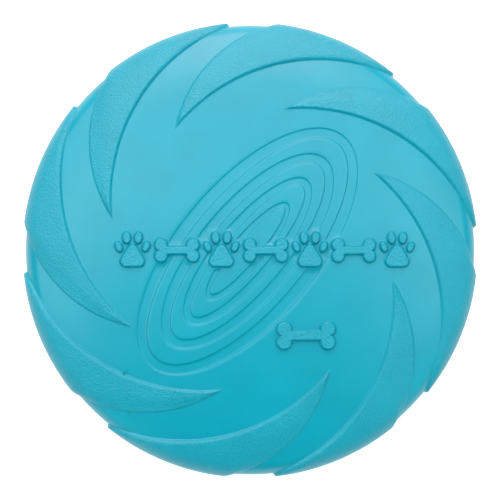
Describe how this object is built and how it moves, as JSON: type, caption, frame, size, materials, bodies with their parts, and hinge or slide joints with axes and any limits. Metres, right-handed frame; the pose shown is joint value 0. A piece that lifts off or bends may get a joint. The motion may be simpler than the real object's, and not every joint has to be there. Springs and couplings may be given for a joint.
{
  "type": "flying disc",
  "caption": "Soft rubber flying disc for dogs: a domed plate with sunk oval grooves and raised paws and bones, and swirl blades over its shoulder to a thick rim.",
  "frame": {"origin": "centre of the ring-shaped resting face under the rim", "axes": "+Z is the disc's axis, up out of the domed side; +X runs along the row of raised paws and bones; +Y is up when that row is read"},
  "size_m": [0.1798, 0.1798, 0.0237],
  "materials": {
    "smooth_rubber": "satin natural rubber, turquoise, smooth",
    "grained_rubber": "turquoise natural rubber with a fine moulded leather grain"
  },
  "bodies": {
    "root": {"flight_plate": "smooth_rubber", "shoulder": "smooth_rubber", "rim_bead": "smooth_rubber", "swirl_blade_1": "grained_rubber", "swirl_blade_2": "grained_rubber", "swirl_blade_3": "grained_rubber", "swirl_blade_4": "grained_rubber", "swirl_blade_5": "grained_rubber", "swirl_blade_6": "grained_rubber", "swirl_blade_7": "grained_rubber", "swirl_blade_8": "grained_rubber", "paw_1": "grained_rubber", "paw_2": "grained_rubber", "paw_3": "grained_rubber", "paw_4": "grained_rubber", "bone_1": "grained_rubber", "bone_2": "grained_rubber", "bone_3": "grained_rubber", "small_bone": "grained_rubber"}
  },
  "joints": []
}
